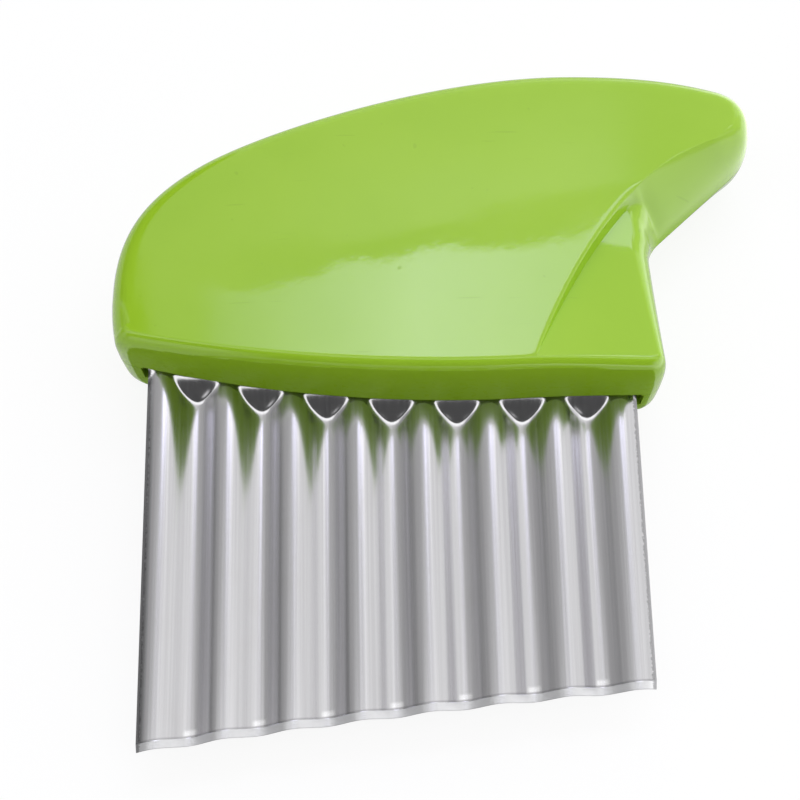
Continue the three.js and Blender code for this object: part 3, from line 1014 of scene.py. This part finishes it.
# Rolled steel, with its bands in millimetres above the edge and in from the sides
STREAK_STRETCH = (2600, 14, 300)
HAIRLINE_STRETCH = (9000, 60, 900)
GRIT_STRETCH = (1400, 5200, 2400)
DULL_STEEL = (0.56, 0.555, 0.57, 1)
BRIGHT_STEEL = (0.61, 0.605, 0.62, 1)
CLOUDED_STEEL = (0.53, 0.52, 0.51, 1)
# Painted highlight: the colour of the glints above the bevel
GLINT_STEEL = (0.97, 0.97, 0.98, 1)
GROUND_STEEL = (0.64, 0.64, 0.65, 1)
DARK_LINE_STEEL = (0.16, 0.16, 0.165, 1)
CLOUD_LEVELS = (0.55, 0.8)
CLOUD_SHARE = 0.2
EDGE_DARK_BAND = (0.05, 0.12)
GROUND_BAND = (1.12, 1.22)
GROUND_TOP_DARK_BAND = (1.25, 1.6)
DARK_LINE_SHARE = 0.4
SHEARED_BAND = (-0.15, 0.1)
SHEARED_RAGGED = 0.9
SHEARED_SHARE = 0.7
GLINT_FOOT_BAND = (1.3, 1.6)
GLINT_HEAD_BAND = (1.9, 2.5)
GLINT_GROOVE = (0.86, 0.98)
GLINT_SHARE = 0.6
STREAK_LEVELS = (0.25, 0.75)
STREAK_ROUGHNESS = (0.15, 0.21)
GROUND_ROUGHNESS = 0.25


def rolled_steel():
    """Bright stainless sheet with fine rolling streaks along the grooves, and a ground edge."""
    finish = Finish("rolled_steel")
    streaks = finish.grain(STREAK_STRETCH, detail=4)
    hairlines = finish.grain(HAIRLINE_STRETCH, detail=2)
    clouds = finish.noise(scale=120, detail=3)
    grit = finish.grain(GRIT_STRETCH, detail=3)
    rise = finish.attribute("above_edge")
    ground = finish.fade(rise, *GROUND_BAND)
    # Darker lines along the cutting edge and along the top of the ground bevel, and a ragged darker band
    # along the sheared sides.
    ground_top_line = finish.product(finish.ramp(rise, *GROUND_BAND), finish.fade(rise, *GROUND_TOP_DARK_BAND))
    dark_lines = finish.math("MAXIMUM", finish.fade(rise, *EDGE_DARK_BAND), ground_top_line)
    ragged = finish.math("SUBTRACT", finish.attribute("from_side"), finish.product(grit, SHEARED_RAGGED))
    sheared = finish.product(finish.fade(ragged, *SHEARED_BAND), SHEARED_SHARE)
    dark = finish.math("MAXIMUM", finish.product(dark_lines, DARK_LINE_SHARE), sheared)
    # Painted highlight: white base colour in small spots on the groove floors just above the bevel
    # stands in for glints.
    glint = finish.product(
        finish.ramp(finish.attribute("in_groove"), *GLINT_GROOVE),
        finish.ramp(rise, *GLINT_FOOT_BAND),
        finish.fade(rise, *GLINT_HEAD_BAND),
        GLINT_SHARE,
    )
    steel = finish.mix(finish.ramp(streaks, *MIDTONES), DULL_STEEL, BRIGHT_STEEL)
    steel = finish.mix(finish.ramp(clouds, *CLOUD_LEVELS, 0, CLOUD_SHARE), steel, CLOUDED_STEEL)
    steel = finish.mix(glint, steel, GLINT_STEEL)
    steel = finish.mix(ground, steel, GROUND_STEEL)
    steel = finish.mix(dark, steel, DARK_LINE_STEEL)
    rough = finish.ramp(streaks, *STREAK_LEVELS, *STREAK_ROUGHNESS)
    rough = finish.math("ADD", rough, finish.product(ground, GROUND_ROUGHNESS))
    drawn = finish.bump(hairlines, distance=0.00002, strength=0.15)
    scratched = finish.bump(finish.product(grit, ground), distance=0.00006, strength=0.6, below=drawn)
    finish.shade(base_color=steel, metallic=1.0, roughness=rough, normal=scratched)
    return finish.material


# Zinc plating
PALE_ZINC = (0.5, 0.5, 0.51, 1)
DARK_ZINC = (0.36, 0.36, 0.37, 1)
ZINC_LEVELS = (0.35, 0.7)
ZINC_ROUGHNESS = (0.26, 0.42)


def plated_screw():
    """Zinc-plated screw steel: a grey satin with darker patches."""
    finish = Finish("plated_screw")
    clouds = finish.noise(scale=600, detail=4)
    zinc = finish.mix(finish.ramp(clouds, *ZINC_LEVELS), PALE_ZINC, DARK_ZINC)
    rough = finish.ramp(clouds, *MIDTONES, *ZINC_ROUGHNESS)
    grain = finish.bump(finish.noise(scale=3000, detail=2), distance=0.00003, strength=0.3)
    finish.shade(base_color=zinc, metallic=1.0, roughness=rough, normal=grain)
    return finish.material


# Floor, in metres
FLOOR_HALF_SIDE = 6
FLOOR_WHITE = (0.82, 0.82, 0.82, 1)
FLOOR_LIGHT = 1.04
FLOOR_MIRRORED = 0.72
FLOOR_RIGHT_MIRRORED = 2.5
FLOOR_RIGHT_BAND = (0.05, 0.065)
FLOOR_GLOW_SHARE = 0.85


def floor_paint():
    """White that glows for the eye and in gloss, brighter in gloss to the right of the part."""
    finish = Finish("white_floor")
    finish.shade(base_color=FLOOR_WHITE, roughness=0.9, specular_ior_level=0.0)
    way = finish.add("SeparateXYZ")
    finish.feed(way.inputs["Vector"], finish.spot)
    mirrored = finish.ramp(way.outputs["X"], *FLOOR_RIGHT_BAND, FLOOR_MIRRORED, FLOOR_RIGHT_MIRRORED)
    rays = finish.add("LightPath").outputs
    for_eye = finish.product(rays["Is Camera Ray"], FLOOR_LIGHT)
    for_gloss = finish.product(rays["Is Glossy Ray"], mirrored)
    glow = finish.add("Emission")
    finish.feed(glow.inputs["Strength"], finish.math("ADD", for_eye, for_gloss))
    seen = finish.math("MAXIMUM", rays["Is Camera Ray"], rays["Is Glossy Ray"])
    mix = finish.add("MixShader")
    finish.feed(mix.inputs["Fac"], finish.product(seen, FLOOR_GLOW_SHARE))
    finish.feed(mix.inputs[1], finish.shader.outputs["BSDF"])
    finish.feed(mix.inputs[2], glow.outputs["Emission"])
    finish.feed(finish.tree.nodes["Material Output"].inputs["Surface"], mix.outputs["Shader"])
    return finish.material


def white_floor():
    """A white floor that still takes a faint shadow."""
    bm = bmesh.new()
    bmesh.ops.create_grid(bm, x_segments=1, y_segments=1, size=FLOOR_HALF_SIDE)
    floor = to_piece(bm, "floor")
    floor.data.materials.append(floor_paint())


# Studio, where a region has a span of (low, high, softness) for each way that bounds it
SLANT = 0.11
ROOM_LIGHT = 1.12
MIDDLE = dict(y=(-0.2, 0.335, 0.02))
MIDDLE_LIGHTS = (0.45, 1.05)
MIDDLE_RISE = (-1, 0.4)
FAR_LEFT = dict(x=(None, -0.62, 0.12))
FAR_LEFT_RISE = (0.1, 0.35)
FAR_LEFT_LOW_SHARE = 0.35
GLOW = dict(slanted=(0.499, None, 0.006), x=(None, 0.25, 0.04))
GLOW_LIGHT = 2.0
GLOW_RISE = (-0.33, 0.06)
GLOW_FADE = (0.5, 0.62)
GLOW_FAR_SHARE = 0.25
CREST = dict(x=(0.42, 0.57, 0.03), y=(0.34, 0.45, 0.03), z=(0.5, None, 0.05))
CREST_LIGHT = 3.5
RIGHT_BEHIND = dict(x=(0.58, None, 0.06), y=(0.52, None, 0.03))
RIGHT_BEHIND_LIGHT = 1.9
LEFT_BEHIND = dict(x=(None, -0.355, 0.015), y=(0.36, None, 0.02))
LEFT_BEHIND_LIGHT = 0.08
FRONT = dict(x=(-0.85, 0.72, 0.05), y=(None, -0.27, 0.04))
FRONT_LIGHT = 0.1
FRONT_SIDES = dict(sideways=(0.4, None, 0.08), y=(None, -0.62, 0.08), z=(None, 0.5, 0.1))
FRONT_SIDES_LIGHT = 1.3
RIGHT_LOW = dict(x=(0.62, None, 0.08), y=(None, 0, 0.08), z=(None, 0.22, 0.08))
RIGHT_LOW_LIGHT = 2.2
OVERHEAD = dict(x=(-0.8, 0.92, 0.08), y=(-0.27, 0.07, 0.03), z=(0.5, None, 0.08))
OVERHEAD_LIGHT = 1.7
SOFTBOX = dict(
    x=(-0.29, 0.4, 0.025), y=(0.342, None, 0.012), z=(0.05, None, 0.05), slanted=(None, 0.466, 0.005)
)
SOFTBOX_LIGHTS = (1.4, 5.7)
SOFTBOX_RISE = (-0.3, -0.01)
SOFTBOX_FADE = (0, 0.2)
SOFTBOX_RIGHT_SHARE = 0.72
WHITE = (1, 1, 1, 1)
COOL_WHITE = (0.91, 0.9, 1.16, 1)


class Sky(Graph):
    """Light that depends on the way it comes from: X right, Y behind and Z above are 1."""

    def __init__(self, world):
        world.use_nodes = True
        super().__init__(world.node_tree)
        split = self.add("SeparateXYZ")
        self.feed(split.inputs["Vector"], self.add("TexCoord").outputs["Generated"])
        x, y, z = (split.outputs[axis] for axis in "XYZ")
        self.ways = {
            "x": x,
            "y": y,
            "z": z,
            "sideways": self.math("ABSOLUTE", x),
            "slanted": self.math("SUBTRACT", y, self.product(x, SLANT)),
        }

    def inside(self, region):
        """1 inside a region and 0 outside it, where None leaves a side of it open."""
        bounds = []
        for way, (low, high, soft) in region.items():
            if low is not None:
                bounds.append(self.ramp(self.ways[way], low - soft, low + soft))
            if high is not None:
                bounds.append(self.fade(self.ways[way], high - soft, high + soft))
        return self.product(*bounds)

    def lit(self, light, where, level):
        """The light with a region of it set to another level."""
        elsewhere = self.math("SUBTRACT", 1, where)
        return self.math("ADD", self.product(light, elsewhere), self.product(where, level))


def room_light(sky):
    """The walls of the room, paler to the right, with a slanted glow along the top of the one behind."""
    x, z, slanted = sky.ways["x"], sky.ways["z"], sky.ways["slanted"]
    middle = sky.ramp(x, *MIDDLE_RISE, *MIDDLE_LIGHTS, "LINEAR")
    far_left = sky.product(middle, sky.ramp(z, *FAR_LEFT_RISE, FAR_LEFT_LOW_SHARE, 1, "LINEAR"))
    middle = sky.lit(middle, sky.inside(FAR_LEFT), far_left)
    light = sky.lit(ROOM_LIGHT, sky.inside(MIDDLE), middle)
    glow = sky.product(
        sky.inside(GLOW),
        sky.ramp(slanted, *GLOW_FADE, 1, GLOW_FAR_SHARE),
        sky.ramp(x, *GLOW_RISE),
    )
    return sky.lit(light, glow, GLOW_LIGHT)


def studio():
    """A room with panels of light and shade, a slanted softbox behind, and dark where the viewer is."""
    world = bpy.data.worlds.new("studio")
    bpy.context.scene.world = world
    sky = Sky(world)
    light = room_light(sky)
    for panel, level in (
        (CREST, CREST_LIGHT),
        (RIGHT_BEHIND, RIGHT_BEHIND_LIGHT),
        (LEFT_BEHIND, LEFT_BEHIND_LIGHT),
        (FRONT, FRONT_LIGHT),
        (FRONT_SIDES, FRONT_SIDES_LIGHT),
        (RIGHT_LOW, RIGHT_LOW_LIGHT),
        (OVERHEAD, OVERHEAD_LIGHT),
    ):
        light = sky.lit(light, sky.inside(panel), level)
    softbox = sky.inside(SOFTBOX)
    softbox_light = sky.product(
        sky.ramp(sky.ways["x"], *SOFTBOX_RISE, *SOFTBOX_LIGHTS, "LINEAR"),
        sky.ramp(sky.ways["x"], *SOFTBOX_FADE, 1, SOFTBOX_RIGHT_SHARE, "LINEAR"),
    )
    light = sky.lit(light, softbox, softbox_light)
    for_eye = sky.add("LightPath").outputs["Is Camera Ray"]
    tint = sky.product(softbox, sky.math("SUBTRACT", 1, for_eye))
    background = sky.tree.nodes["Background"]
    sky.feed(background.inputs["Strength"], sky.lit(light, for_eye, 1))
    sky.feed(background.inputs["Color"], sky.mix(tint, WHITE, COOL_WHITE))


# Camera, with its turns in degrees
CAMERA_SENSOR = 36
CAMERA_LENS = 70.952
CAMERA_NEAR = 0.01
CAMERA_SPOT = (2.44, -25.67, 228.21)
CAMERA_TURNS = (18.785, 0.66, -1.109)


def camera():
    lens = bpy.data.cameras.new("camera")
    lens.sensor_width = CAMERA_SENSOR
    lens.lens = CAMERA_LENS
    lens.clip_start = CAMERA_NEAR
    eye = bpy.data.objects.new("camera", lens)
    eye.location = placed(CAMERA_SPOT)
    eye.rotation_euler = [radians(turn) for turn in CAMERA_TURNS]
    bpy.context.scene.collection.objects.link(eye)
    bpy.context.scene.camera = eye


# The cutter and its stage
glossy = moulded_plastic("glossy_plastic", tone=1.02, roughness=(0.035, 0.06), specular=0.5)
# The second copy is duller, and its lower tone of 0.8 is painted shade on the mouth's wall, which faces
# down towards the blade.
painted_shade_dull = moulded_plastic("dull_painted_shade_plastic", tone=0.8, roughness=(0.25, 0.35), specular=0.01)
handle_front(glossy, painted_shade_dull)
handle_rear(glossy, painted_shade_dull)
corrugated_blade(rolled_steel())
zinc = plated_screw()
for name, centre in SCREWS.items():
    pan_screw(name, centre, zinc)
white_floor()
studio()
camera()
bpy.context.scene.view_settings.view_transform = "Standard"
